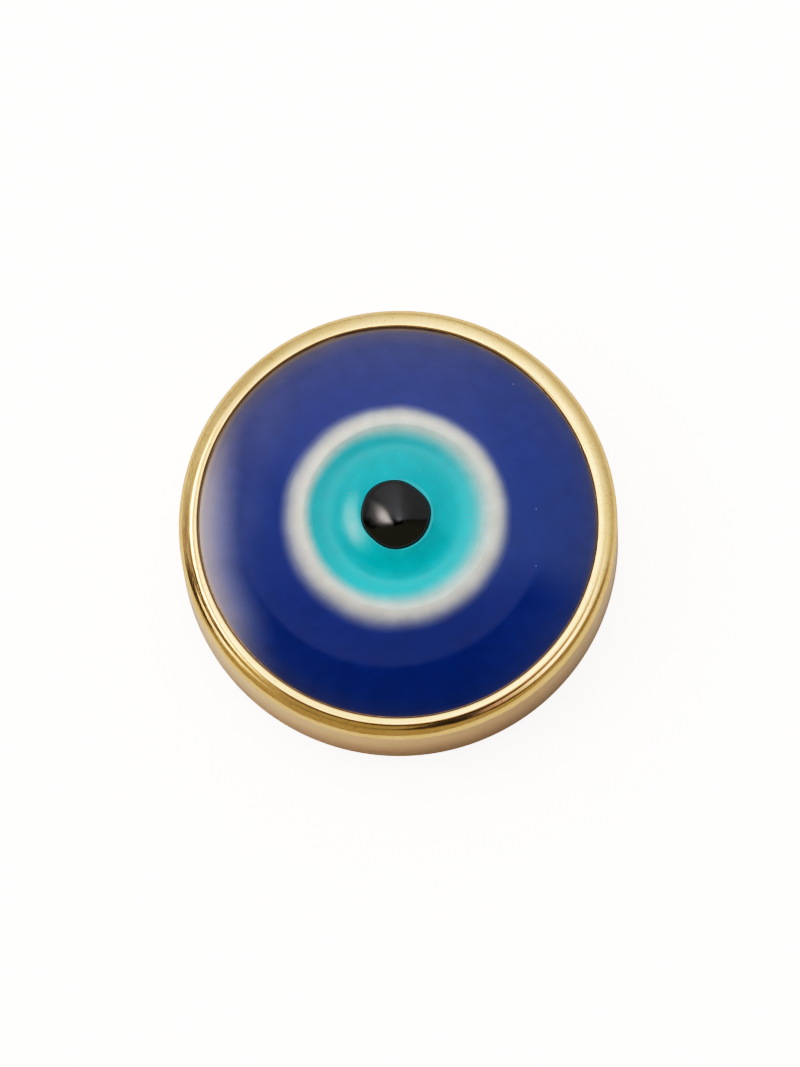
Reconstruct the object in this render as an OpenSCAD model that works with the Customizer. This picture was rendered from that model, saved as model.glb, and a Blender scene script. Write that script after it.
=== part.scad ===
// Evil eye pendant: a round gold cup with a rolled lip holds a domed eye of layered coloured glass.
// Millimetres. The pendant lies on its back, +Z points out of its face and +Y is up as it is worn.
// The origin is the centre of the foot rim that it rests on.

/* [Glass eye] */
// Diameter of the blue glass cabochon
stone_d = 16; // [13:0.5:22]
// Height of the cabochon's upright side, from its flat back to the start of the dome
glass_side_h = 1.4; // [0.8:0.05:2.5]
// Rise of the dome above the edge of the lip's opening
dome_rise = 1.62; // [1.2:0.02:2.4]
// Diameter of the black bead where it leaves the glass
pupil_d = 2.74; // [2:0.02:3.6]
// Height of the black bead above the glass round it
pupil_rise = 0.75; // [0.4:0.05:1.1]
// Depth of the pocket that the black bead sits in
pupil_pocket = 0.25; // [0.1:0.05:0.4]
// Width of the turquoise band, from the bead to the white
iris_w = 2.05; // [1.4:0.05:2.6]
// Width of the white band
white_w = 0.96; // [0.6:0.02:1.4]
// Width of the part of the white band that dips into the dish of the iris
dish_lap = 0.28; // [0.1:0.02:0.5]
// Depth of the ring-shaped dish between the bead and the white band
dish_depth = 0.25; // [0.1:0.01:0.35]
// Thickness of the turquoise glass under the lowest point of its dish
iris_t = 0.3; // [0.2:0.05:0.5]
// Thickness of the white glass under the turquoise
white_t = 0.3; // [0.2:0.05:0.5]

/* [Gold setting] */
// Thickness of the upright wall round the glass
wall_t = 0.57; // [0.4:0.01:0.9]
// How far the lip covers the edge of the glass
lip_cover = 0.17; // [0.1:0.01:0.3]
// Height of the lip's crest above the glass at its edge
lip_rise = 0.31; // [0.2:0.01:0.5]
// Width of the small inner round, from the opening to the crest
lip_inner_round = 0.11; // [0.06:0.01:0.16]
// Depth of the broad outer round, from the crest down to the upright wall
lip_outer_h = 0.51; // [0.3:0.01:0.8]
// Thickness of the plate that the glass rests on
floor_t = 0.4; // [0.3:0.05:0.8]
// Width of the rim that surrounds the open back
rim_w = 0.6; // [0.45:0.05:0.9]
// Radius of the round at the foot of the wall
foot_round = 0.2; // [0.05:0.01:0.3]

/* [Chain tube] */
// Diameter of the hole that the chain runs through
tube_bore_d = 1.5; // [1:0.1:2.2]
// Thickness of the tube's wall
tube_wall = 0.25; // [0.2:0.05:0.4]
// Clear space between the tube and the inside of the rim, above the tube
tube_inset = 0.8; // [0.3:0.1:2]
// Depth of solder that joins the tube to the plate
tube_bite = 0.15; // [0.05:0.05:0.2]
// Space between the tube and the surface that the pendant lies on
tube_clear = 0.05; // [0.05:0.05:0.3]

/* [Fit] */
// Gap between the glass and the gold round it
setting_gap = 0.03; // [0.02:0.01:0.08]
// Gap between one glass layer and the next
inlay_gap = 0.02; // [0.01:0.01:0.05]

/* [Hidden] */

gold_colour = [0.85, 0.70, 0.36];
blue_colour = [0.10, 0.14, 0.50];
white_colour = [0.86, 0.87, 0.84];
turquoise_colour = [0.08, 0.70, 0.72];
black_colour = [0.05, 0.05, 0.05];

// Segments of a full turn in the preview mesh, and of each quarter round in an outline
turn_fn = 128;
round_steps = 8;
// Overshoot of a cutting shape past the face that it opens
past = 1;

// Radii, from the middle outwards
pupil_r = pupil_d / 2;
iris_r = pupil_r + iris_w;
dish_r = iris_r + dish_lap;
white_r = iris_r + white_w;
stone_r = stone_d / 2;
opening_r = stone_r - lip_cover;
crest_r = opening_r + lip_inner_round;
bed_r = stone_r + setting_gap;
cup_r = bed_r + wall_t;
recess_r = cup_r - rim_w;

// The tube sets the depth of the open back, and everything above is stacked on it
tube_bore_r = tube_bore_d / 2;
tube_r = tube_bore_r + tube_wall;
recess_h = tube_clear + 2 * tube_r - tube_bite;
tube_z = tube_clear + tube_r;
tube_y = recess_r - tube_inset - tube_r;
seat_z = recess_h + floor_t;
glass_z = seat_z + setting_gap;
girdle_z = glass_z + glass_side_h;

// The dome is part of a ball that meets the upright side at girdle_z and rises dome_rise above
// the circle of the opening
dome_r = (pow(opening_r, 2) + pow(dome_rise, 2)) / (2 * dome_rise);
dome_centre_z = girdle_z - sqrt(pow(dome_r, 2) - pow(stone_r, 2));

// Height of the dome at a distance r from its axis
function dome_z(r) = dome_centre_z + sqrt(pow(dome_r, 2) - pow(r, 2));

// The lip: its edge stands just above the glass, and its crest is lip_rise above the glass edge
edge_z = dome_z(opening_r) + setting_gap;
crest_z = dome_z(opening_r) + lip_rise;
shoulder_z = crest_z - lip_outer_h;

// The dish is a hollow ring. Its section is an arc from the bead's edge to the white band
dish_in = [pupil_r, dome_z(pupil_r)];
dish_out = [dish_r, dome_z(dish_r)];
dish_chord = norm(dish_out - dish_in);
dish_up = [dish_in[1] - dish_out[1], dish_out[0] - dish_in[0]] / dish_chord;
dish_arc_r = (pow(dish_chord / 2, 2) + pow(dish_depth, 2)) / (2 * dish_depth);
dish_centre = (dish_in + dish_out) / 2 + dish_up * (dish_arc_r - dish_depth);
dish_low_z = dish_centre[1] - dish_arc_r;

// Floors of the pockets that the inlaid layers lie in
iris_floor_z = dish_low_z - iris_t;
white_floor_z = iris_floor_z - white_t;
pupil_floor_z = dish_in[1] - pupil_pocket;

// The bead is part of a ball through the rim of its pocket
bead_r = (pow(pupil_r, 2) + pow(pupil_rise, 2)) / (2 * pupil_rise);
bead_centre_z = dish_in[1] + pupil_rise - bead_r;

// Points of an elliptical quarter from angle a0 to a1 about centre c, with half-axes w and h
function quarter(c, w, h, a0, a1) = [
    for (i = [0:round_steps])
        let (a = a0 + (a1 - a0) * i / round_steps)
        [c[0] + w * cos(a), c[1] + h * sin(a)]
];

// Half section of the cup: foot rim, outer wall, lip, bed of the glass, plate and open back
cup_outline = concat(
    [[recess_r, 0]],
    quarter([cup_r - foot_round, foot_round], foot_round, foot_round, -90, 0),
    quarter([crest_r, shoulder_z], cup_r - crest_r, lip_outer_h, 0, 90),
    quarter([crest_r, crest_z - lip_inner_round], lip_inner_round, lip_inner_round, 90, 180),
    [
        [opening_r, edge_z],
        [bed_r, dome_z(stone_r) + setting_gap],
        [bed_r, seat_z],
        [0, seat_z],
        [0, recess_h],
        [recess_r, recess_h]
    ]
);

// A cylinder along X through the middle of the chain tube
module tube_rod(r, reach) {
    translate([-reach, tube_y, tube_z]) rotate([0, 90, 0]) cylinder(r = r, h = 2 * reach, $fn = turn_fn);
}

// A round slab from height z0 up to past the bead
module slab(r, z0) {
    top_z = dish_in[1] + pupil_rise + past;
    translate([0, 0, z0]) cylinder(r = r, h = top_z - z0, $fn = turn_fn);
}

// A round slab cut off by the dome
module domed_slab(r, z0) {
    intersection() {
        slab(r, z0);
        translate([0, 0, dome_centre_z]) sphere(r = dome_r, $fn = turn_fn);
    }
}

// The space above the dish
module dish_space() {
    rotate_extrude($fn = turn_fn) intersection() {
        translate(dish_centre) circle(r = dish_arc_r, $fn = turn_fn);
        translate([pupil_r, dish_low_z - past]) square([dish_r - pupil_r, dome_rise + 2 * past]);
    }
}

module gold_setting() {
    color(gold_colour) difference() {
        union() {
            rotate_extrude($fn = turn_fn) polygon(cup_outline);
            intersection() {
                tube_rod(tube_r, cup_r);
                cylinder(r = cup_r - rim_w / 2, h = seat_z, $fn = turn_fn);
            }
        }
        tube_rod(tube_bore_r, cup_r + past);
    }
}

module blue_dome() {
    color(blue_colour) difference() {
        domed_slab(stone_r, glass_z);
        slab(white_r, white_floor_z);
    }
}

module white_ring() {
    color(white_colour) difference() {
        domed_slab(white_r - inlay_gap, white_floor_z + inlay_gap);
        slab(iris_r, iris_floor_z);
        dish_space();
    }
}

module turquoise_iris() {
    color(turquoise_colour) difference() {
        domed_slab(iris_r - inlay_gap, iris_floor_z + inlay_gap);
        slab(pupil_r, pupil_floor_z);
        dish_space();
    }
}

module black_pupil() {
    color(black_colour) intersection() {
        slab(pupil_r - inlay_gap, pupil_floor_z + inlay_gap);
        translate([0, 0, bead_centre_z]) sphere(r = bead_r, $fn = turn_fn);
    }
}

gold_setting();
blue_dome();
white_ring();
turquoise_iris();
black_pupil();
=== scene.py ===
# %% [markdown]
# # An evil eye pendant, piece by piece
# The real object is a small round charm. A gold cup with a rolled lip holds a domed eye of glass:
# cobalt blue, then a white ring, a turquoise iris and a raised black bead. The layers were fused
# together while they were soft, so their colours bleed a little into each other.
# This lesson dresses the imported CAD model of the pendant. The CAD says where everything is and
# how large it is. Blender makes the finely rounded surfaces and the finishes on top of that.

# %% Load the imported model
import math

import bmesh
import bpy
from mathutils import Matrix, Vector, noise


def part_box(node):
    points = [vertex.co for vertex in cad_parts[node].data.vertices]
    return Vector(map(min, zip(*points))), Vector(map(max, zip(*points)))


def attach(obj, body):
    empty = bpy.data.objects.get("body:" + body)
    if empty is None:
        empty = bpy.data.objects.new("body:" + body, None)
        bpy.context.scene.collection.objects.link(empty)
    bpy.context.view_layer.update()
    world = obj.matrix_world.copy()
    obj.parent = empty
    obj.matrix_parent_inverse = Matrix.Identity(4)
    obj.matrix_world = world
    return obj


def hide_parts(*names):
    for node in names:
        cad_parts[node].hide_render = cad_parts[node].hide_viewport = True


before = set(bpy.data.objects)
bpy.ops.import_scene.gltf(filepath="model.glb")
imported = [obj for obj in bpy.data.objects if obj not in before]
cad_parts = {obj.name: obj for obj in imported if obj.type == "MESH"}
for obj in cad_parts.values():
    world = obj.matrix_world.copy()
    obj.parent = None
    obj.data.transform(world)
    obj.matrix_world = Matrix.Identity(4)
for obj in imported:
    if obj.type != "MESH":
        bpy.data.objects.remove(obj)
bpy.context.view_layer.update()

MM = 0.001
print("CAD nodes:", sorted(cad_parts))

# %% [markdown]
# ## Sizes
# The outer sizes are read from the CAD nodes, so the dressed pieces can't drift away from them.
# The sizes that a node's box doesn't give, such as the radius of the lip's opening, are named here
# in millimetres. They are the same values that the CAD source uses, apart from the joint, which the
# CAD keeps wider, so that its solids stay apart.

# %% Read the sizes of the nodes
def reach(node):
    """Largest radius, lowest and highest point of a round CAD node, in mm."""
    low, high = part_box(node)
    return high[0] / MM, low[2] / MM, high[2] / MM


cup_r, foot_z, crest_z = reach("gold_setting")
stone_r, glass_z, _ = reach("blue_dome")
_, bead_floor_z, bead_top_z = reach("black_pupil")

opening_r = 7.83    # the lip's opening, over the edge of the glass
crest_r = 7.94      # the highest circle of the lip
bed_r = 8.03        # the bed that the glass lies in
shoulder_z = 3.604  # where the lip's broad outer round meets the upright wall
edge_z = 3.834      # the sharp edge of the lip, just above the glass
lip_round = 0.11    # the small inner round of the lip
foot_round = 0.2    # the round at the foot of the wall
recess_r, recess_h = 8.0, 1.9  # the open back
seat_z = 2.3        # the plate that the glass rests on
girdle_z = 3.73     # where the glass stops being upright and the dome starts
dome_r = 19.733     # the ball that the dome is a part of
dome_centre_z = -14.309
tube_y, tube_z, tube_r, tube_bore_r = 6.2, 1.05, 1.0, 0.75  # the chain tube
white_r, dish_r, iris_r, pupil_r = 4.38, 3.70, 3.42, 1.37   # the rings of the eye
dish_arc_r, dish_centre = 2.885, (2.874, 7.839)  # section of the dish between bead and white
joint = 0.003       # open seam between two glass layers, too fine to see


def dome_z(r):
    """Height of the dome at a distance r from the axis."""
    return dome_centre_z + math.sqrt(dome_r**2 - r**2)


print(f"cup {2 * cup_r:.2f} mm across, lip {crest_z:.2f} mm high, bead top at {bead_top_z:.2f} mm")

# %% [markdown]
# ## Camera
# The photograph looks down on the pendant's face, 12 degrees from its axis towards the lower edge
# and about one degree to the right. A long lens half a metre away keeps the far side of the lip
# the same size as the near side. The camera could be aimed by a constraint, but its three axes,
# written as a matrix, give the exact angle. The aim point is a little below and to the right of
# the lip's centre, because the pendant sits a little high and to the left in the picture.

# %% Place the camera
scene = bpy.context.scene
PICTURE = (800, 1067)   # the photograph's frame, in pixels
PIXEL = 0.0391          # mm of the object that one pixel shows
LIP_CENTRE = (397.65, 521.0)  # where the centre of the lip's crest is in the picture
DISTANCE = 550.0        # from the lip to the camera, in mm
TO_RIGHT, TO_LOWER_EDGE = 1.2, 12.0  # how far the camera leans from the face's axis, in degrees

camera = bpy.data.objects.new("camera", bpy.data.cameras.new("camera"))
scene.collection.objects.link(camera)
scene.camera = camera
back = Vector((math.sin(math.radians(TO_RIGHT)), -math.sin(math.radians(TO_LOWER_EDGE)), 0))
back.z = math.sqrt(1 - back.length_squared)
right = Vector((0, 1, 0)).cross(back).normalized()
up = back.cross(right)
aim = Vector((0, 0, crest_z))
aim += right * (PICTURE[0] / 2 - LIP_CENTRE[0]) * PIXEL
aim += up * (LIP_CENTRE[1] - PICTURE[1] / 2) * PIXEL
camera.matrix_world = Matrix.Translation((aim + back * DISTANCE) * MM) @ Matrix(
    (right, up, back)).transposed().to_4x4()
camera.data.lens = camera.data.sensor_width * DISTANCE / (PICTURE[1] * PIXEL)
camera.data.clip_start, camera.data.clip_end = 0.01, 10
print(f"lens {camera.data.lens:.0f} mm, looking down at {math.degrees(math.asin(back.z)):.1f} degrees")

# %% [markdown]
# ## Drawing a section with a pen
# Every round piece here is a turned piece: a half section, drawn in the plane y = 0, is spun once
# round the upright axis, as on a lathe. The pen below draws that section. It extrudes its last
# vertex for a straight line, and spins it about a centre for an arc. An arc can be squashed
# afterwards, in width or in height, which makes a quarter of an ellipse.

# %% A pen for half sections
class Pen:
    """Draws a half section in mm, in the plane y = 0."""

    def __init__(self, r, z):
        self.bm = bmesh.new()
        self.tip = self.bm.verts.new((r, 0, z))

    def line(self, r, z, parts=1):
        """A straight line to (r, z), cut into equal parts."""
        start, end = self.tip.co.copy(), Vector((r, 0, z))
        for i in range(parts):
            made = bmesh.ops.extrude_vert_indiv(self.bm, verts=[self.tip])
            self.tip = made["verts"][0]
            self.tip.co = start.lerp(end, (i + 1) / parts)
        return self

    def arc(self, r, z, degrees, steps, wide=1.0, high=1.0):
        """An arc about (r, z). Positive degrees turn from +Z towards +X. wide and high squash it."""
        old = set(self.bm.verts)
        made = bmesh.ops.spin(
            self.bm, geom=[self.tip], cent=(r, 0, z), axis=(0, 1, 0),
            angle=math.radians(degrees), steps=steps, use_duplicate=False)
        self.tip = next(v for v in made["geom_last"] if isinstance(v, bmesh.types.BMVert))
        new = [v for v in self.bm.verts if v not in old]
        shift = Matrix.Translation((-r, 0, -z))
        bmesh.ops.scale(self.bm, vec=(wide, 1, high), space=shift, verts=new)
        return self


print("pen ready")

# %% [markdown]
# ## Spinning a section
# Spinning leaves a copy of each vertex that lies on the axis at every step, so the doubles are
# merged to close the poles. A spin can also turn a shape inside out, so the normals are worked out
# again after that. Faces that meet at less than a given angle are shaded as one smooth surface.

# %% Turn a section into a piece
TURN_STEPS = 256
SMOOTH_UNDER = 30  # degrees


def turned(pen, steps=TURN_STEPS):
    """Spins the pen's section round the z axis and returns the closed mesh, in mm."""
    bm = pen.bm
    bmesh.ops.spin(
        bm, geom=bm.verts[:] + bm.edges[:], cent=(0, 0, 0), axis=(0, 0, 1),
        angle=math.tau, steps=steps, use_merge=True, use_duplicate=False)
    bmesh.ops.remove_doubles(bm, verts=bm.verts, dist=1e-5)
    bmesh.ops.recalc_face_normals(bm, faces=bm.faces)
    return bm


def smoothed(mesh):
    """Shades a mesh smoothly, apart from its sharp edges."""
    mesh.shade_smooth()
    mesh.set_sharp_from_angle(angle=math.radians(SMOOTH_UNDER))


def finished(name, bm):
    """Makes an object in metres from a mesh in mm."""
    bmesh.ops.scale(bm, vec=(MM, MM, MM), verts=bm.verts)
    mesh = bpy.data.meshes.new(name)
    bm.to_mesh(mesh)
    bm.free()
    smoothed(mesh)
    piece = bpy.data.objects.new(name, mesh)
    scene.collection.objects.link(piece)
    triangles = sum(len(p.vertices) - 2 for p in mesh.polygons)
    print(f"{name}: {triangles} triangles")
    return piece


print("one turn takes", TURN_STEPS, "steps")

# %% [markdown]
# ## The gold cup
# On the real pendant a strip of gold was bent into a ring, soldered to a plate, and its upper edge
# was pressed over the glass and polished, which leaves a soft rolled lip. It could be a cylinder
# with bevels, but a drawn section gives each round its own size. The section goes from
# the middle of the open back, round the foot, up the wall, over the lip and down into the bed
# of the glass. Extra points close to the ends of a flat stretch keep the smooth shading of
# the rounds from spreading over it.

# %% Turn the cup
wall_hold, floor_hold = 0.06, 0.1  # distance of the extra points from the ends of wall and floors
inner_foot = 0.05  # the small round at the inner side of the foot
edge_land = 0.004  # how far the lip's edge drops straight down before the bed begins
over_stone = 0.03  # how far above the edge of the glass the slope of the bed ends
lip_steps = 40
cup_pen = Pen(0, recess_h).line(recess_r - floor_hold, recess_h).line(recess_r, recess_h)
cup_pen.line(recess_r, inner_foot, 4).arc(recess_r + inner_foot, inner_foot, -90, 4)
cup_pen.line(cup_r - foot_round, 0).arc(cup_r - foot_round, foot_round, -90, 12)
cup_pen.line(cup_r, foot_round + wall_hold).line(cup_r, shoulder_z - wall_hold, 8)
cup_pen.line(cup_r, shoulder_z)
cup_pen.arc(crest_r, shoulder_z, -90, lip_steps, high=(crest_z - shoulder_z) / (cup_r - crest_r))
cup_pen.arc(crest_r, edge_z, -90, 16, wide=lip_round / (crest_z - edge_z))
cup_pen.line(opening_r, edge_z - edge_land).line(bed_r, dome_z(stone_r) + over_stone, 2)
cup_pen.line(bed_r, seat_z).line(bed_r - floor_hold, seat_z).line(0, seat_z)
cup = turned(cup_pen)
print("cup section spun:", len(cup.faces), "faces")

# %% [markdown]
# The lip was pressed down by hand until its edge lay close over the glass, so it isn't the same
# all round. It is lowest at the upper left. On the left and at the top its outer half slopes down
# sooner. At the bottom its highest line lies farther out, so the lip leans inwards there. At the
# lower right it keeps a flat ledge behind a fine groove. Its opening is a little narrower at the
# upper right and the lower left, and slow waves run along it. All this could be sculpted, but a
# formula of the clock angle and the distance from the crest stays smooth and is easy to change.

# %% How uneven the lip is
# Places along the lip are clock angles in degrees, 0 at the top. All other values are in mm.
NARROWER = ((45, 0.12), (135, 0.05), (180, 0.035), (225, 0.09), (315, 0.05))  # place and amount
SLOPE_AT, SLOPE_BY, WAVE_BY = 290, 0.085, 0.010
LEDGE_AT, LEDGE_BY, GROOVE_BY = 130, 0.050, 0.004
LEAN_AT, LEAN_BY = 205, 0.035
PRESSED_AT, PRESSED, PRESSED_MORE = 320, 0.15, 0.04
# Where a shape comes in and goes out, as distances outside the crest.
OUTER_HALF = (-0.05, 0.42)
LEDGE_IN, LEDGE_OUT = (0.22, 0.44), (0.46, cup_r - crest_r - 0.02)
GROOVE_IN, GROOVE_OUT = (0.18, 0.23), (0.23, 0.28)
CROWN_IN, CROWN_OUT = (-0.02, 0.15), (0.15, 0.34)
INNER_SIDE = (opening_r - crest_r, 0.1)
EDGE_GAP, UNDERSIDE_GAP = 0.012, 0.008  # how far the lip's edge and underside stay off the glass
NEAR_CREST = 0.05  # up to this distance outside the crest, the lip keeps that gap
STRAIGHT_BELOW = 0.3  # the foot under this height stays as it is
MARGIN, FINE_MARGIN = 0.01, 0.002  # to tell the points of a section apart


def eased(value, low, high):
    """0 below low, 1 above high, and a smooth step between them."""
    t = min(1, max(0, (value - low) / (high - low)))
    return t * t * (3 - 2 * t)


def strip(outside, come_in, go_out):
    """A strip along the lip that comes in and goes out smoothly."""
    return eased(outside, *come_in) * (1 - eased(outside, *go_out))


def facing(clock, at):
    """1 at a clock angle, less beside it, and 0 from a quarter turn away."""
    return max(0, math.cos(math.radians(clock - at)))


print(f"lip pressed down {PRESSED - PRESSED_MORE:.2f} to {PRESSED + PRESSED_MORE:.2f} mm by hand")

# %% Make the lip uneven
deepest = 0
for v in cup.verts:
    far = math.hypot(v.co.x, v.co.y)
    in_bed = far < bed_r + MARGIN and v.co.z < edge_z - MARGIN
    if far < opening_r - MARGIN or v.co.z < STRAIGHT_BELOW or in_bed:
        continue
    clock = math.degrees(math.atan2(v.co.x, v.co.y))
    outside = far - crest_r
    gap = UNDERSIDE_GAP if v.co.z < edge_z - FINE_MARGIN else EDGE_GAP
    wave = noise.noise(v.co * 0.45) * 0.5 + noise.noise(v.co * 1.3) * 0.25
    sink = (SLOPE_BY * facing(clock, SLOPE_AT) + WAVE_BY * (wave + 0.6)) * eased(outside, *OUTER_HALF)
    sink += PRESSED + PRESSED_MORE * math.cos(math.radians(clock - PRESSED_AT))
    ledge = LEDGE_BY * strip(outside, LEDGE_IN, LEDGE_OUT)
    ledge -= GROOVE_BY * strip(outside, GROOVE_IN, GROOVE_OUT)
    sink -= facing(clock, LEDGE_AT) ** 5 * ledge
    sink -= facing(clock, LEAN_AT) ** 2 * LEAN_BY * strip(outside, CROWN_IN, CROWN_OUT)
    tight = sum(by * facing(clock, at) ** 4 for at, by in NARROWER) * (1 - eased(outside, *INNER_SIDE))
    v.co.z -= sink * min(1, v.co.z / shoulder_z)
    v.co.x *= 1 - tight / far
    v.co.y *= 1 - tight / far
    if outside < NEAR_CREST:
        v.co.z = max(v.co.z, dome_z(far - tight) + gap)
    deepest = max(deepest, sink)
print(f"with its slopes and waves, the lip sinks by up to {deepest:.2f} mm")

# %% [markdown]
# ## The chain tube
# The photograph shows nothing for the pendant to hang from, so a plain tube behind its upper part
# carries the chain. It is soldered in, so it belongs to the same piece as the cup. It could lie
# in the cup as a mesh of its own, but then the metal would have no clean hole. Boolean modifiers
# trim a rod so that it ends inside the round wall, join it to the cup and then drill the bore
# through both. The result is taken as the final mesh.

# %% Solder the tube in and drill it
ROD_SIDES = 96
IN_WALL = 0.3   # the tube ends this far inside the outer face of the wall
DRILL_MORE = 1  # the drill reaches this far out of the wall


def rod(name, radius, half_length):
    """A rod along X through the middle of the chain tube, used as a tool."""
    bm = bmesh.new()
    bmesh.ops.create_cone(
        bm, cap_ends=True, segments=ROD_SIDES, radius1=radius, radius2=radius, depth=2 * half_length)
    bmesh.ops.rotate(bm, cent=(0, 0, 0), matrix=Matrix.Rotation(math.pi / 2, 3, "Y"), verts=bm.verts)
    bmesh.ops.translate(bm, vec=(0, tube_y, tube_z), verts=bm.verts)
    return finished(name, bm)


def cut_by(piece, tool, operation):
    """Applies one exact boolean to the piece and deletes the tool."""
    step = piece.modifiers.new(operation, "BOOLEAN")
    step.object, step.operation, step.solver = tool, operation, "EXACT"
    seen = piece.evaluated_get(bpy.context.evaluated_depsgraph_get())
    mesh = bpy.data.meshes.new_from_object(seen)
    piece.modifiers.clear()
    piece.data = mesh
    bpy.data.objects.remove(tool)
    print(f"{operation}: {len(mesh.polygons)} faces")


gold_cup = finished("gold_cup", cup)
inside = bmesh.new()
bmesh.ops.create_cone(
    inside, cap_ends=True, segments=TURN_STEPS, radius1=cup_r - IN_WALL, radius2=cup_r - IN_WALL,
    depth=seat_z)
bmesh.ops.translate(inside, vec=(0, 0, seat_z / 2), verts=inside.verts)
tube = rod("tube_rod", tube_r, cup_r)
cut_by(tube, finished("inside_of_wall", inside), "INTERSECT")
cut_by(gold_cup, tube, "UNION")
cut_by(gold_cup, rod("bore_rod", tube_bore_r, cup_r + DRILL_MORE), "DIFFERENCE")
gold_cup.data.name = "gold_cup"
smoothed(gold_cup.data)

# %% [markdown]
# ## The blue glass
# The blue glass is a thick disc with an upright side and a domed top. It could be a flattened
# sphere, but its dome is a small part of a large ball, so it is drawn as one arc and spun, which
# is exact and puts its rings where they are needed. The white ring lies in a pocket in its middle.

# %% Turn the blue dome
glass_foot = 0.1        # the round at the foot of the glass
girdle_hold = 0.03      # distance of the extra point below the girdle
floor_of_white = 4.354  # the floor of the pocket


def dome_angle(r):
    """Angle of the dome's ball, in degrees from the axis, at a distance r."""
    return math.degrees(math.asin(r / dome_r))


blue_pen = Pen(0, glass_z).line(stone_r - glass_foot, glass_z)
blue_pen.arc(stone_r - glass_foot, glass_z + glass_foot, -90, 6)
blue_pen.line(stone_r, girdle_z - girdle_hold, 2).line(stone_r, girdle_z)
blue_pen.arc(0, dome_centre_z, dome_angle(white_r) - dome_angle(stone_r), 48)
blue_pen.line(white_r, floor_of_white, 2).line(0, floor_of_white)
finished("blue_glass_dome", turned(blue_pen))

# %% [markdown]
# ## The white ring and the turquoise iris
# The iris sinks in a shallow ring-shaped dish, as the glass did when it cooled, and the dish ends
# within the white ring. One painted disc could stand for both, but as pieces of their own they
# keep the layers of the real eye. Both have their tops on the same curves, so light slides over
# the seam between them without a step.

# %% Turn the white ring
floor_of_iris = 4.654  # the floor of the iris's pocket in the white
white_side, iris_side = white_r - joint, iris_r - joint


def dish_angle(r):
    """Angle of the dish's arc, in degrees, at a distance r from the axis. Its lowest point is 0."""
    return math.degrees(math.asin((r - dish_centre[0]) / dish_arc_r))


def dish_z(r):
    """Height of the dish at a distance r from the axis."""
    return dish_centre[1] - math.sqrt(dish_arc_r**2 - (r - dish_centre[0]) ** 2)


white_pen = Pen(0, floor_of_white + joint).line(white_side, floor_of_white + joint)
white_pen.line(white_side, dome_z(white_side), 2)
white_pen.arc(0, dome_centre_z, dome_angle(dish_r) - dome_angle(white_side), 16)
white_pen.arc(*dish_centre, dish_angle(dish_r) - dish_angle(iris_r), 6)
white_pen.line(iris_r, floor_of_iris, 2).line(0, floor_of_iris)
finished("white_glass_ring", turned(white_pen))

# %% Turn the iris
ledge_r, ledge_in, ledge_z = 1.42, 1.18, 5.335  # the ledge that the bead stands on
DEEPER_BY, DEEPEST_R = 0.065, 2.60  # the iris sinks this much deeper than the arc, at this radius
INNER_POWER = 1.2  # over 1, the inner slope of the dish starts late

iris_pen = Pen(0, floor_of_iris + joint).line(iris_side, floor_of_iris + joint)
iris_pen.line(iris_side, dish_z(iris_side), 2)
iris_pen.arc(*dish_centre, dish_angle(iris_side) - dish_angle(ledge_r), 36)
iris_pen.line(ledge_in, ledge_z, 2).line(ledge_in, bead_floor_z - joint).line(0, bead_floor_z - joint)
iris_mesh = turned(iris_pen)
for v in iris_mesh.verts:
    far = math.hypot(v.co.x, v.co.y)
    if ledge_r < far < iris_side - MARGIN and v.co.z > floor_of_iris + MARGIN:
        if far < DEEPEST_R:
            along = ((far - ledge_r) / (DEEPEST_R - ledge_r)) ** INNER_POWER
        else:
            along = 1 + (far - DEEPEST_R) / (iris_side - DEEPEST_R)
        v.co.z -= DEEPER_BY * (1 - math.cos(math.pi * along)) / 2
finished("turquoise_glass_iris", iris_mesh)

# %% [markdown]
# ## The black bead
# A drop of black glass was set on the iris while it was soft. It isn't quite round: seen from
# above, it is a little flat on the right and at the lower left. Its tip is soft but narrow, and it
# leans towards the lower edge. A scaled ball would have its highlight in the wrong place, because
# the highlight follows the slope. So the bead is turned as a cap on a short plug, and each ring of
# the cap gets the height of a drop whose slope is given. The rings then move towards the tip, and
# the outline is pushed in and out by a few slow waves round the axis.

# %% Turn the bead as a round cap
plug_r, bead_foot_z = 1.12, ledge_z + joint
bead_rise = bead_top_z - bead_foot_z
bead_r = (pupil_r**2 + bead_rise**2) / (2 * bead_rise)
bead_pen = Pen(0, bead_floor_z).line(plug_r, bead_floor_z).line(plug_r, bead_foot_z)
bead_pen.line(pupil_r, bead_foot_z, 3)
bead_pen.arc(0, bead_top_z - bead_r, -math.degrees(math.asin(pupil_r / bead_r)), 40)
bead = turned(bead_pen, TURN_STEPS // 2)
print("bead cap spun:", len(bead.faces), "faces")

# %% The shape of the drop
WAVES = ((2, 0.020, 81), (3, 0.009, 116), (4, 0.011, 39), (6, 0.008, -78))  # count, size, phase
BEAD_SHIFT, TIP = -0.055, (0.16, -0.36)  # shift of the whole bead in x, and of its tip
TIP_ROUND, NEAR_TIP, TOWARDS_RIM = 0.25, 0.56, 0.15  # how blunt the tip is, and two slopes
RIM = 0.86  # from this share of the radius on, the drop rounds down to the iris
PARTS = 400


def slope(t):
    """How steep the drop is at a share t of its radius: soon steep, then slowly steeper."""
    return t / math.sqrt(t * t + TIP_ROUND**2) * (NEAR_TIP + TOWARDS_RIM * t)


fallen = [0.0]
for i in range(PARTS):
    fallen.append(fallen[-1] + slope((i + 0.5) / PARTS) / PARTS * pupil_r)
skirt = bead_rise - fallen[-1]


def drop_z(t):
    """Height of the drop at a share t of its radius."""
    i = min(int(t * PARTS), PARTS - 1)
    z = bead_top_z - fallen[i] - (fallen[i + 1] - fallen[i]) * (t * PARTS - i)
    if t > RIM:
        z -= skirt * (1 - math.sqrt(1 - ((t - RIM) / (1 - RIM)) ** 2))
    return z


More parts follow.
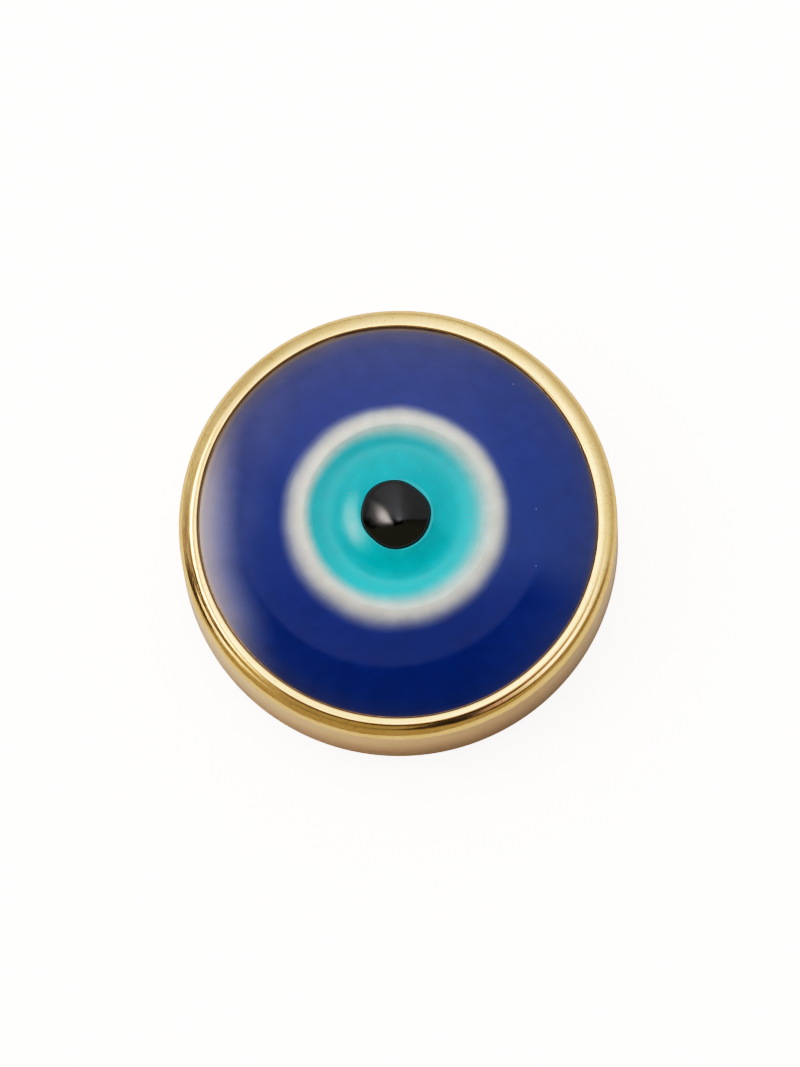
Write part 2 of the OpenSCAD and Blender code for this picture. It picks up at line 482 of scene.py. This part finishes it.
print(f"the drop falls {fallen[-1]:.3f} mm, and its rim is {skirt:.3f} mm high")

# %% Give the cap that shape
for v in bead.verts:
    clock = math.atan2(v.co.x, v.co.y)
    swell = sum(size * math.cos(k * clock + math.radians(turn)) for k, size, turn in WAVES)
    far = math.hypot(v.co.x, v.co.y)
    if v.co.z < bead_foot_z - joint / 2 or (far < plug_r + joint and v.co.z < bead_foot_z + joint):
        continue
    t = 1
    if v.co.z > bead_foot_z + joint / 2:
        t = min(1, far / pupil_r)
        v.co.z = drop_z(t)
    v.co.x = v.co.x * (1 + swell) + BEAD_SHIFT + TIP[0] * (1 - t)
    v.co.y = v.co.y * (1 + swell) + TIP[1] * (1 - t)
finished("black_glass_bead", bead)

# %% [markdown]
# ## Helpers for shader nodes
# A material is a network of small nodes. They could be placed by hand, but here a helper adds one
# node, sets its options, and fills its inputs in order. An input is a number or colour, or the
# output of another node. Longer sums stay readable, because each step is one call.

# %% Helpers for single nodes
def feed(tree, socket, value):
    """Links a socket to the output of another node, or sets a plain value. None leaves it alone."""
    if isinstance(value, bpy.types.NodeSocket):
        tree.links.new(value, socket)
    elif value is not None:
        socket.default_value = value


def put(tree, kind, *inputs, **settings):
    """Adds a shader node, with its options as settings."""
    node = tree.nodes.new("ShaderNode" + kind)
    for name, value in settings.items():
        setattr(node, name, value)
    for socket, value in zip(node.inputs, inputs):
        feed(tree, socket, value)
    return node


def maths(tree, operation, *inputs, **settings):
    """One arithmetic step."""
    return put(tree, "Math", *inputs, operation=operation, **settings).outputs[0]


def mixed(tree, share, first, second, blend="MIX"):
    """Mixes two colours by a share from 0 to 1."""
    node = put(tree, "Mix", data_type="RGBA", blend_type=blend)
    for socket, value in ((0, share), (6, first), (7, second)):
        feed(tree, node.inputs[socket], value)
    return node.outputs[2]


def ramp(tree, value, low, high, to_low=0.0, to_high=1.0):
    """Turns a value smoothly from to_low at low into to_high at high."""
    return put(tree, "MapRange", value, low, high, to_low, to_high,
               interpolation_type="SMOOTHSTEP").outputs[0]


print("helpers for single nodes ready")

# %% Helpers for places, groups and materials
def place_in_mm(tree):
    """The place on the object that is being shaded, in mm."""
    place = put(tree, "TexCoord").outputs["Object"]
    return put(tree, "VectorMath", place, (1 / MM,) * 3, operation="MULTIPLY").outputs[0]


def split(tree, place):
    """The x, y and z of a place."""
    return put(tree, "SeparateXYZ", place).outputs


def square_length(tree, x, y):
    """The square of the distance from (0, 0) to (x, y)."""
    return maths(tree, "ADD", maths(tree, "MULTIPLY", x, x), maths(tree, "MULTIPLY", y, y))


def length(tree, x, y):
    """The distance from (0, 0) to (x, y)."""
    return maths(tree, "SQRT", square_length(tree, x, y))


def group(name, inputs, outputs):
    """An empty shader node group, with inputs (name, kind, value) and outputs (name, kind).
    Returns its tree, the sockets that it is given, and the sockets for its result."""
    tree = bpy.data.node_groups.new(name, "ShaderNodeTree")
    for label, kind, value in inputs:
        made = tree.interface.new_socket(label, in_out="INPUT", socket_type="NodeSocket" + kind)
        made.default_value = value
    for label, kind in outputs:
        tree.interface.new_socket(label, in_out="OUTPUT", socket_type="NodeSocket" + kind)
    given, result = tree.nodes.new("NodeGroupInput"), tree.nodes.new("NodeGroupOutput")
    return tree, given.outputs, result.inputs


def material(name, base, metallic, roughness, ior=1.5):
    """A new material. Returns it with its tree and its Principled shader."""
    made = bpy.data.materials.new(name)
    made.use_nodes = True
    shader = made.node_tree.nodes["Principled BSDF"]
    shader.inputs["Base Color"].default_value = (*base, 1)
    shader.inputs["Metallic"].default_value = metallic
    shader.inputs["Roughness"].default_value = roughness
    shader.inputs["IOR"].default_value = ior
    return made, made.node_tree, shader


print("helpers for groups and materials ready")

# %% [markdown]
# ## Colours that bleed into each other
# Where two colours of soft glass touch, they don't meet in a sharp line. Each piece could fade by
# itself, but then the seam would show. This shared group mixes an inner and an outer colour by the
# distance from a centre, over a soft band whose edge wanders a little. Both pieces at a seam use it
# with the same values, so the seam itself has one colour. Run says how much wider the band is on
# one side than on the other.

# %% Group: bleed between two rings
bleed, given, result = group(
    "bleed",
    [("Inner", "Color", (1, 1, 1, 1)), ("Outer", "Color", (0, 0, 0, 1)), ("Radius", "Float", 4.0),
     ("Softness", "Float", 0.3), ("Centre X", "Float", 0.0), ("Centre Y", "Float", 0.0),
     ("Run X", "Float", 0.0), ("Run Y", "Float", 0.0)],
    [("Color", "Color")])
place = place_in_mm(bleed)
x, y, _ = split(bleed, place)
x = maths(bleed, "SUBTRACT", x, given["Centre X"])
y = maths(bleed, "SUBTRACT", y, given["Centre Y"])
radius = length(bleed, x, y)
run = maths(bleed, "ADD", maths(bleed, "MULTIPLY", x, given["Run X"]),
            maths(bleed, "MULTIPLY", y, given["Run Y"]))
run = maths(bleed, "DIVIDE", run, maths(bleed, "MAXIMUM", radius, 0.1))
spread = maths(bleed, "MULTIPLY", given["Softness"], maths(bleed, "ADD", run, 1.0))
wander = put(bleed, "TexNoise", place, None, 0.6, 3.0, 0.5).outputs[0]
radius = maths(bleed, "ADD", radius, maths(bleed, "MULTIPLY_ADD", wander, 0.16, -0.08))
share = ramp(bleed, radius, maths(bleed, "SUBTRACT", given["Radius"], spread),
             maths(bleed, "ADD", given["Radius"], spread))
feed(bleed, result["Color"], mixed(bleed, share, given["Inner"], given["Outer"]))
print("bleed:", len(bleed.nodes), "nodes")

# %% [markdown]
# ## Painted glow along the rim
# Near the lip the blue turns paler, greyer and browner. This is painted light for the lit lip and
# room that the glass's edge reflects. It is strongest at the top and on the left. It could be a thin
# layer of dust, but a change of the glass's own colour is enough. Two steps do this: a wide mauve
# painted reflection that grows towards the rim, and a narrow brown one beside the lip, which is partly
# a seam of polish and partly painted light that lifts the lip's shade on the glass.

# %% Group: painted glow along the rim
# painted light: a pale mauve for reflections in the glass's edge, and a pale brown beside the lip that
# is partly polish and partly painted light over the lip's shade
PAINTED_RIM_GLOW, SEAM_AND_PAINTED_LIGHT = (0.105, 0.105, 0.175, 1), (0.20, 0.165, 0.13, 1)
rim_painted_glow, given, result = group(
    "rim_painted_glow", [("Color", "Color", (0.001, 0.001, 0.001, 1))], [("Color", "Color")])
place = place_in_mm(rim_painted_glow)
x, y, _ = split(rim_painted_glow, place)
radius = length(rim_painted_glow, x, y)
to_upper_left = maths(rim_painted_glow, "DIVIDE", maths(rim_painted_glow, "MULTIPLY_ADD", x, -0.8, y), 28.0)
strength = maths(rim_painted_glow, "ADD", to_upper_left, 0.55)
uneven = put(rim_painted_glow, "TexNoise", place, None, 0.6, 3.0, 0.5).outputs[0]
strength = maths(rim_painted_glow, "MULTIPLY", strength, maths(rim_painted_glow, "MULTIPLY_ADD", uneven, 0.6, 0.7),
                 use_clamp=True)
# painted reflection: a wide glow that grows towards the rim
wide = maths(rim_painted_glow, "ADD", ramp(rim_painted_glow, radius, 4.8, 7.5, 0, 0.40),
             ramp(rim_painted_glow, radius, 6.9, 7.7, 0, 0.5))
with_rim_glow = mixed(rim_painted_glow, maths(rim_painted_glow, "MULTIPLY", wide, strength), given["Color"], PAINTED_RIM_GLOW)
# close beside the lip: a seam of polish with painted light
beside_lip = maths(rim_painted_glow, "MULTIPLY", ramp(rim_painted_glow, radius, 7.55, 7.80), strength)
feed(rim_painted_glow, result["Color"], mixed(rim_painted_glow, beside_lip, with_rim_glow, SEAM_AND_PAINTED_LIGHT))
print("painted rim glow:", len(rim_painted_glow.nodes), "nodes")

# %% [markdown]
# ## The skin of the glass
# Polished glass isn't perfect: it has a faint waviness, small clouds in its colour, and a few
# pinholes and specks of dust. They are too small to model, so this group gives them as values, and
# every glass uses it. Specks are dots in a few of the cells of a Voronoi pattern.

# %% Group: waviness, clouds and specks
skin, given, result = group(
    "glass_skin", [("Wave size", "Float", 0.5), ("Speck share", "Float", 0.5)],
    [("Height", "Float"), ("Specks", "Float"), ("Cloud", "Float")])
place = place_in_mm(skin)
waves = put(skin, "TexNoise", place, None, given["Wave size"], 2.0, 0.4).outputs[0]
cells = put(skin, "TexVoronoi", place, None, 2.2, feature="F1")
cell_value = split(skin, cells.outputs["Color"])[0]
rare = maths(skin, "GREATER_THAN", cell_value, maths(skin, "SUBTRACT", 1.0, given["Speck share"]))
specks = maths(skin, "MULTIPLY", ramp(skin, cells.outputs["Distance"], 0.10, 0.03), rare)
cloud = put(skin, "TexNoise", place, None, 1.4, 4.0, 0.55).outputs[0]
for label, value in (("Height", waves), ("Specks", specks), ("Cloud", cloud)):
    feed(skin, result[label], value)
print("glass skin:", len(skin.nodes), "nodes")

# %% [markdown]
# ## Opaque glass
# Each glass is a smooth dielectric: its colour comes from inside, and the clear shine on top comes
# from the shader's own reflection. Real glass lets a little light in, and scattering under
# the surface could show that, but this glass is so dense that a plain colour looks the same.

# %% The making of a glass
SPECK_STRENGTH = 0.35
WAVE_HEIGHT = 2.0e-6  # metres
SPECK_TINT = (0.5, 0.5, 0.55, 1)


def glass(name, colour, roughness, ior, specks):
    """An opaque glass. colour is a value, or a function that adds nodes and returns a socket."""
    made, tree, shader = material(name, (0.5, 0.5, 0.5), 0, roughness, ior)
    surface = put(tree, "Group", node_tree=skin)
    surface.inputs["Speck share"].default_value = specks
    surface = surface.outputs
    base = colour(tree) if callable(colour) else colour
    paler = mixed(tree, maths(tree, "MULTIPLY", surface["Specks"], SPECK_STRENGTH), base, SPECK_TINT)
    depth = ramp(tree, surface["Cloud"], 0.3, 0.7, 0.94, 1.05)
    tone = put(tree, "CombineXYZ", depth, depth, depth).outputs[0]
    feed(tree, shader.inputs["Base Color"], mixed(tree, 1.0, paler, tone, "MULTIPLY"))
    rough = ramp(tree, surface["Cloud"], 0.35, 0.75, roughness * 0.8, roughness * 1.5)
    feed(tree, shader.inputs["Roughness"], rough)
    bump = put(tree, "Bump", 1.0, WAVE_HEIGHT)
    feed(tree, bump.inputs["Height"], surface["Height"])
    feed(tree, shader.inputs["Normal"], bump.outputs[0])
    return made


print("glass maker ready")

# %% [markdown]
# The cobalt isn't one even colour: faint purple streaks cross its upper half, and it is painted
# brighter on the right, as if more light fell there. The turquoise is painted brightest at the lower
# right, which lifts the shade of its dish there. One colour for each glass would be simpler, but it
# looks like paint, so each colour is a small function that adds its own nodes.

# %% The colours of the rings
# the second blue and the second turquoise are painted light: brighter tones where less light falls
BLUE, PURPLE, PAINTED_LIT_BLUE = (0.001, 0.045, 0.260, 1), (0.015, 0.048, 0.264, 1), (0.003, 0.052, 0.300, 1)
WHITE = (0.67, 0.71, 0.69, 1)
TURQUOISE, PAINTED_LIT_TURQUOISE = (0.0003, 0.435, 0.535, 1), (0.0003, 0.535, 0.65, 1)
BLACK = (0.001, 0.001, 0.001, 1)
WHITE_EDGE = dict(radius=4.18, softness=0.46, centre=(-0.03, 0.03), run=(-0.12, -0.22))
IRIS_EDGE = dict(radius=3.44, softness=0.50, centre=(-0.09, 0.04), run=(0.45, 0.0))


def bled(tree, inner, outer, radius, softness, centre, run):
    """Places the bleed group with its values and returns its colour."""
    node = put(tree, "Group", node_tree=bleed)
    for label, value in (("Inner", inner), ("Outer", outer), ("Radius", radius),
                         ("Softness", softness), ("Centre X", centre[0]), ("Centre Y", centre[1]),
                         ("Run X", run[0]), ("Run Y", run[1])):
        feed(tree, node.inputs[label], value)
    return node.outputs[0]


def blue_colour(tree):
    """Cobalt, with purple streaks towards the top, and painted light that makes it brighter on the
    right.
    """
    place = place_in_mm(tree)
    x, y, _ = split(tree, place)
    streak = put(tree, "TexNoise", place, None, 0.35, 3.0, 0.5).outputs[0]
    across = maths(tree, "MULTIPLY_ADD", streak, 4.0, maths(tree, "MULTIPLY_ADD", x, 0.1, y))
    blue = mixed(tree, ramp(tree, across, 0.5, 6.0), BLUE, PURPLE)
    # painted light: the blue turns brighter towards the right
    blue = mixed(tree, ramp(tree, x, 1.5, 6.0, 0, 0.8), blue, PAINTED_LIT_BLUE)
    # the painted rim glow and the seam's painted light go on top of the blue
    return put(tree, "Group", bled(tree, WHITE, blue, **WHITE_EDGE), node_tree=rim_painted_glow).outputs[0]


def turquoise_colour(tree):
    """Turquoise, painted brighter towards the lower right against the dish's shade, that bleeds into
    the white.
    """
    x, y, _ = split(tree, place_in_mm(tree))
    to_lower_right = maths(tree, "MULTIPLY_ADD", x, 0.6, maths(tree, "MULTIPLY", y, -1))
    # painted light: brighter towards the lower right, against the shade of the dish
    tone = mixed(tree, ramp(tree, to_lower_right, -1.8, 2.6), TURQUOISE, PAINTED_LIT_TURQUOISE)
    return bled(tree, tone, WHITE, **IRIS_EDGE)


def white_colour(tree):
    """White between the turquoise and the blue."""
    return bled(tree, turquoise_colour(tree), BLUE, **WHITE_EDGE)


finishes = {
    "blue_glass_dome": glass("blue_glass", blue_colour, 0.05, 1.6, 0.10),
    "white_glass_ring": glass("white_glass", white_colour, 0.06, 1.6, 0.06),
    "turquoise_glass_iris": glass("turquoise_glass", turquoise_colour, 0.19, 1.6, 0.12),
    "black_glass_bead": glass("black_glass", BLACK, 0.14, 1.85, 0.05),
}
bead_shader = finishes["black_glass_bead"].node_tree.nodes["Principled BSDF"]
bead_shader.inputs["Specular Tint"].default_value = (0.88, 0.92, 1.0, 1)
print("glass finishes:", sorted(finishes))

# %% [markdown]
# ## Polished gold
# The cup was turned and polished by hand, so fine scratches run round it and its shine is a little
# uneven. An anisotropic shine could stand for them, but single scratches show up close. They
# come from a noise that changes slowly round the axis and quickly across the section. Its
# coordinates are the direction from the axis, the radius and the height, so there is no seam where
# the angle starts again.

# %% Group: grain that runs round the axis
grain, given, result = group(
    "turned_grain", [("Length", "Float", 6.0), ("Fineness", "Float", 16.0)],
    [("Lines", "Float"), ("Patches", "Float")])
place = place_in_mm(grain)
x, y, z = split(grain, place)
radius = length(grain, x, y)
not_zero = maths(grain, "MAXIMUM", radius, 0.01)
round_x = maths(grain, "MULTIPLY", maths(grain, "DIVIDE", x, not_zero), given["Length"])
round_y = maths(grain, "MULTIPLY", maths(grain, "DIVIDE", y, not_zero), given["Length"])
across = maths(grain, "MULTIPLY", radius, given["Fineness"])
along_z = maths(grain, "MULTIPLY", z, given["Fineness"])
turned_place = put(grain, "CombineXYZ", round_x, round_y, across).outputs[0]
lines = put(grain, "TexNoise", turned_place, along_z, 1.0, 3.0, 0.65, noise_dimensions="4D").outputs[0]
feed(grain, result["Lines"], lines)
patches = put(grain, "TexNoise", place, None, 0.8, 4.0, 0.6).outputs[0]
feed(grain, result["Patches"], patches)
print("turned grain:", len(grain.nodes), "nodes")

# %% [markdown]
# ## Grime and painted shade beside the glass
# The lip's lowest edge, where it meets the glass, is darker, most of all in the upper half: partly
# polish that stays in the seam, partly painted shade in the crease. Ambient occlusion could find that
# edge, but it is slow and grainy. The group measures how high a point of the gold lies over the ball
# of the dome, and keeps to the inner side of the lip, because the outer wall crosses that ball too.

# %% Group: grime and painted shade beside the glass
grime_and_shade, given, result = group("seam_grime_and_shade", [("Reach", "Float", 0.16)], [("Share", "Float")])
x, y, z = split(grime_and_shade, place_in_mm(grime_and_shade))
square = square_length(grime_and_shade, x, y)
ball = maths(grime_and_shade, "SQRT", maths(grime_and_shade, "SUBTRACT", dome_r**2, square))
over = maths(grime_and_shade, "SUBTRACT", z, maths(grime_and_shade, "ADD", ball, dome_centre_z))
share = maths(grime_and_shade, "MULTIPLY", ramp(grime_and_shade, over, given["Reach"], 0.04),
              ramp(grime_and_shade, over, -0.2, -0.1))
share = maths(grime_and_shade, "MULTIPLY", share, ramp(grime_and_shade, square, (crest_r + 0.15)**2, (crest_r + 0.05)**2))
share = maths(grime_and_shade, "MULTIPLY", share, ramp(grime_and_shade, y, -19.0, 1.0))
feed(grime_and_shade, result["Share"], share)
print("seam grime and shade:", len(grime_and_shade.nodes), "nodes")

# %% [markdown]
# The gold itself is one metal with two slightly different tones in patches, small darker pits,
# a darker tone down the wall that is painted shade towards the foot, and the grime with its painted
# shade. Each is a mask that mixes one more colour in.

# %% Gold material
GOLD_HEIGHT = 2.5e-6  # how deep the scratches are, in metres
WARM, DARKER = (0.87, 0.645, 0.37, 1), (0.83, 0.605, 0.32, 1)
# the darker wall colour is painted shade, deepest at the foot
PAINTED_FOOT_SHADE, PITS, DIRT_AND_SHADE = (0.49, 0.305, 0.14, 1), (0.45, 0.30, 0.12, 1), (0.27, 0.25, 0.24, 1)
PIT_STRENGTH, DIRT_AND_SHADE_STRENGTH = 0.35, 0.80
gold, tree, shader = material("polished_gold", (1.0, 0.76, 0.35), 1.0, 0.15)
marks = put(tree, "Group", node_tree=grain).outputs
feed(tree, shader.inputs["Roughness"], ramp(tree, marks["Lines"], 0.35, 0.75, 0.12, 0.27))
place = place_in_mm(tree)
colour = mixed(tree, ramp(tree, marks["Patches"], 0.35, 0.7), WARM, DARKER)
# painted shade: the wall darkens towards its foot
colour = mixed(tree, ramp(tree, split(tree, place)[2], 2.9, -0.1), colour, PAINTED_FOOT_SHADE)
pits = ramp(tree, put(tree, "TexNoise", place, None, 7.0, 3.0, 0.6).outputs[0], 0.42, 0.30)
colour = mixed(tree, maths(tree, "MULTIPLY", pits, PIT_STRENGTH), colour, PITS)
# the lip's edge beside the glass: polish with painted shade in the crease
dirt_and_shade = put(tree, "Group", node_tree=grime_and_shade).outputs["Share"]
colour = mixed(tree, maths(tree, "MULTIPLY", dirt_and_shade, DIRT_AND_SHADE_STRENGTH), colour, DIRT_AND_SHADE)
feed(tree, shader.inputs["Base Color"], colour)
bump = put(tree, "Bump", 1.0, GOLD_HEIGHT)
feed(tree, bump.inputs["Height"], marks["Lines"])
feed(tree, shader.inputs["Normal"], bump.outputs[0])
finishes["gold_cup"] = gold
print("gold finish ready")

# %% [markdown]
# ## The pieces on the pendant's body
# Each piece rides on the pendant's one body and stands for its CAD node, which is hidden. It gets the
# finish that was made for it.

# %% Pieces, nodes and slots
PIECES = {
    "gold_cup": ("gold_setting", "gold"),
    "blue_glass_dome": ("blue_dome", "blue_glass"),
    "white_glass_ring": ("white_ring", "white_glass"),
    "turquoise_glass_iris": ("turquoise_iris", "turquoise_glass"),
    "black_glass_bead": ("black_pupil", "black_glass"),
}
for name, (node, slot) in PIECES.items():
    piece = bpy.data.objects[name]
    piece.data.materials.clear()
    piece.data.materials.append(finishes[name])
    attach(piece, "root")
    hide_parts(node)
print("pieces:", ", ".join(PIECES))

# %% [markdown]
# ## The floor
# The pendant lies on a plain pale floor. In the photograph it is white out to the edges. Brighter
# lamps could do that, but they would wash out the gold, so the floor glows a little where the
# camera sees it, and nowhere else.

# %% The floor
FLOOR_R, UNDER_FOOT = 3000, 0.005  # its radius, and how far it lies under the foot, in mm
floor_mesh = bmesh.new()
bmesh.ops.create_circle(floor_mesh, cap_ends=True, segments=96, radius=FLOOR_R)
bmesh.ops.translate(floor_mesh, vec=(0, 0, foot_z - UNDER_FOOT), verts=floor_mesh.verts)
floor = finished("floor", floor_mesh)
paper, tree, shader = material("pale_floor", (0.90, 0.90, 0.90), 0, 0.6)
shader.inputs["Emission Color"].default_value = (1.0, 0.99, 0.98, 1)
seen = put(tree, "LightPath").outputs["Is Camera Ray"]
feed(tree, shader.inputs["Emission Strength"], maths(tree, "MULTIPLY", seen, 0.85))
floor.data.materials.append(paper)

# %% [markdown]
# ## The lights
# Polished metal and glass show whatever stands round them, so the lights are large soft panels. A
# picture of a room could light the scene too, but panels are plain and easy to move. A panel is
# given by where it leans from straight above and how wide it looks from the pendant, because that
# is what shows in the reflections. A fade shapes its edge, in the tangents of those same tilts.

# %% A panel of light
def tan(angle):
    """The tangent of an angle in degrees."""
    return math.tan(math.radians(angle))


def panel(name, height, span_x, span_y, radiance, tint=(1, 1, 1), fade=None):
    """A level panel, height metres over the floor. No two panels share a height, because they
    overlap. The spans say from where to where it reaches, as its tilt from straight above, in
    degrees. radiance is how bright it looks. fade gets the node tree and the tangents of both
    tilts, and returns the share of the light that a point gives."""
    x0, x1, y0, y1 = (tan(a) for a in (*span_x, *span_y))
    lamp = bpy.data.lights.new(name, "AREA")
    lamp.shape, lamp.color = "RECTANGLE", tint
    lamp.size, lamp.size_y = (x1 - x0) * height, (y1 - y0) * height
    lamp.energy = radiance * math.pi * lamp.size * lamp.size_y
    lamp.use_nodes = True
    tree = lamp.node_tree
    light = bpy.data.objects.new(name, lamp)
    light.location = ((x0 + x1) / 2 * height, (y0 + y1) / 2 * height, height)
    light.visible_camera = False
    scene.collection.objects.link(light)
    if fade:
        u, v, _ = split(tree, put(tree, "NewGeometry").outputs["Parametric"])
        x = maths(tree, "MULTIPLY_ADD", u, x1 - x0, x0)
        y = maths(tree, "MULTIPLY_ADD", v, y1 - y0, y0)
        feed(tree, tree.nodes["Emission"].inputs["Strength"], fade(tree, x, y))
    print(f"{name}: {lamp.size:.2f} x {lamp.size_y:.2f} m")


print("panel maker ready")

# %% [markdown]
# A round light hangs over the eye. Its crisp front edge is the arc that crosses the blue glass
# below the rings.

# %% The round light overhead
def disc_fade(tree, x, y):
    """A round light with a crisp front edge. It gets weaker towards the back, and hardly shines
    at its right rear, where the glass shows none of it."""
    far = length(tree, maths(tree, "SUBTRACT", x, -0.06), maths(tree, "SUBTRACT", y, 0.28))
    disc = ramp(tree, far, 0.735, 0.705)
    to_back = ramp(tree, y, tan(30), tan(-8))
    right_rear = maths(tree, "MULTIPLY", ramp(tree, x, 0.15, 0.5), ramp(tree, y, -0.15, 0.15))
    kept = maths(tree, "MULTIPLY_ADD", right_rear, -0.9, 1.0)
    return maths(tree, "MULTIPLY", disc, maths(tree, "MULTIPLY", to_back, kept))


panel("overhead", 0.50, (-39, 35), (-26, 39), 0.46, (1, 0.79, 0.84), disc_fade)

# %% [markdown]
# The broad light is the sky of this small room. It gives the gold its pale upper half, and its front
# edge is the line where the black bead turns dark.

# %% The broad light
def sky_fade(tree, x, y):
    """A broad light that starts a little in front and gets weaker away from the middle."""
    # its front edge bends back on both sides, and forward again on the far right
    aside = maths(tree, "MINIMUM", maths(tree, "ABSOLUTE", x), 1.2)
    edge = maths(tree, "MULTIPLY_ADD", aside, -0.14, y)
    edge = maths(tree, "ADD", edge, ramp(tree, x, 0.45, 0.95, 0, 0.14))
    grow = ramp(tree, edge, -0.24, 0.08)
    # brightest in the middle, and weaker at the front left and on the right
    across = maths(tree, "MULTIPLY", x, x)
    away = maths(tree, "SQRT", maths(tree, "MULTIPLY_ADD", maths(tree, "MULTIPLY", y, y), 0.2, across))
    bright = maths(tree, "DIVIDE", 1.0, maths(tree, "MULTIPLY_ADD", away, 0.88, 1.0))
    bright = maths(tree, "MAXIMUM", bright, 0.40)
    front_left = ramp(tree, maths(tree, "MULTIPLY_ADD", y, 0.8, x), -0.42, 0.0, 0.38, 1.0)
    bright = maths(tree, "MULTIPLY", bright, front_left)
    bright = maths(tree, "MULTIPLY", bright, ramp(tree, x, 0.25, 0.6, 1, 0.86))
    # low on the left it is dim, and a little brighter towards the back
    beyond = ramp(tree, x, -1.1, -1.7)
    dim = ramp(tree, y, 0.3, 1.5, 0.15, 0.34)
    evened = maths(tree, "MULTIPLY_ADD", beyond, maths(tree, "SUBTRACT", dim, bright), bright)
    return maths(tree, "MULTIPLY", grow, evened)


panel("sky", 0.52, (-88, 88), (-40, 88), 1.40, (1, 0.97, 0.92), sky_fade)

# %% [markdown]
# A narrow strip on the left makes the pale haze at the left edge of the glass, the crescent in the
# dish of the iris and the highlight on the bead.

# %% The strip on the left
def left_fade(tree, x, y):
    """A strip on the left with a soft inner edge, soft ends and a faint foot on its inner side."""
    # the inner edge bends inwards at the front and outwards at the back
    to_front = maths(tree, "MAXIMUM", maths(tree, "SUBTRACT", 0.05, y), 0)
    to_back = maths(tree, "MAXIMUM", maths(tree, "SUBTRACT", y, 0.1), 0)
    bent = maths(tree, "MULTIPLY_ADD", maths(tree, "MINIMUM", to_front, 0.25), -0.45,
                 maths(tree, "MULTIPLY_ADD", to_back, 0.12, x))
    inner, outer = ramp(tree, bent, tan(-34), tan(-49)), ramp(tree, x, tan(-60), tan(-52))
    front_end, back_end = ramp(tree, y, tan(-44), tan(4)), ramp(tree, y, tan(54), tan(16))
    strip_light = maths(tree, "MULTIPLY", maths(tree, "MULTIPLY", inner, outer),
                        maths(tree, "MULTIPLY", front_end, back_end))
    foot = maths(tree, "MULTIPLY", ramp(tree, x, tan(-27), tan(-36), 0, 0.1), ramp(tree, y, 0.1, 0.3))
    return maths(tree, "MAXIMUM", strip_light, maths(tree, "MULTIPLY", foot, back_end))


panel("left_strip", 0.54, (-60, -27), (-44, 54), 5.0, (1, 0.885, 0.78), left_fade)

# %% [markdown]
# In front the room is dim and warm. It shows in the wall of the cup and in the lower half of the lip.

# %% The dim light in front
def corner_fade(tree, x, y):
    """Fills the gap in front of the sky, on the right only."""
    return maths(tree, "MULTIPLY", ramp(tree, x, tan(12), tan(42)), ramp(tree, y, tan(-4), tan(-14)))


panel("front_room", 0.56, (-88, 88), (-88, -40), 0.32, (1, 0.91, 0.57))
panel("front_right", 0.58, (12, 88), (-40, -4), 0.27, (1, 0.88, 0.60), corner_fade)

# %% [markdown]
# ## The room
# Beyond the panels the room is dark and a little warm, so the gold has deep tones beside its bright
# ones. Only the camera sees the same room as white, to go on where the floor ends.

# %% The room
DIM_ROOM, SEEN_ROOM = (0.03, 0.028, 0.024, 1), (1.05, 1.05, 1.04, 1)
world = bpy.data.worlds.new("room")
scene.world = world
world.use_nodes = True
tree = world.node_tree
seen = put(tree, "LightPath").outputs["Is Camera Ray"]
feed(tree, tree.nodes["Background"].inputs["Color"], mixed(tree, seen, DIM_ROOM, SEEN_ROOM))
print("room:", len(tree.nodes), "nodes")

# %% [markdown]
# ## The camera's response
# A camera deepens the shadows and rolls off the brightest tones. A ready-made look could do
# something like it, but the curve below gives each tone its own place, and it changes the picture
# and not the object.

# %% Tone curve
RESPONSE = ((0.01, 0.0018), (0.02, 0.0056), (0.05, 0.0242), (0.1, 0.0742), (0.2, 0.2159),
            (0.3, 0.381), (0.4, 0.515), (0.5, 0.617), (0.62, 0.716), (0.87, 0.871), (1.2, 0.956))
WHITE_POINT = 1.6
scene.view_settings.view_transform = "Standard"
scene.view_settings.use_curve_mapping = True
response = scene.view_settings.curve_mapping
response.extend = "HORIZONTAL"
response.white_level = (WHITE_POINT,) * 3
curve = response.curves[3]  # the curve of all three colours together
for level, shown in RESPONSE:
    curve.points.new(level / WHITE_POINT, shown)
response.update()
print("tone curve points:", len(curve.points))
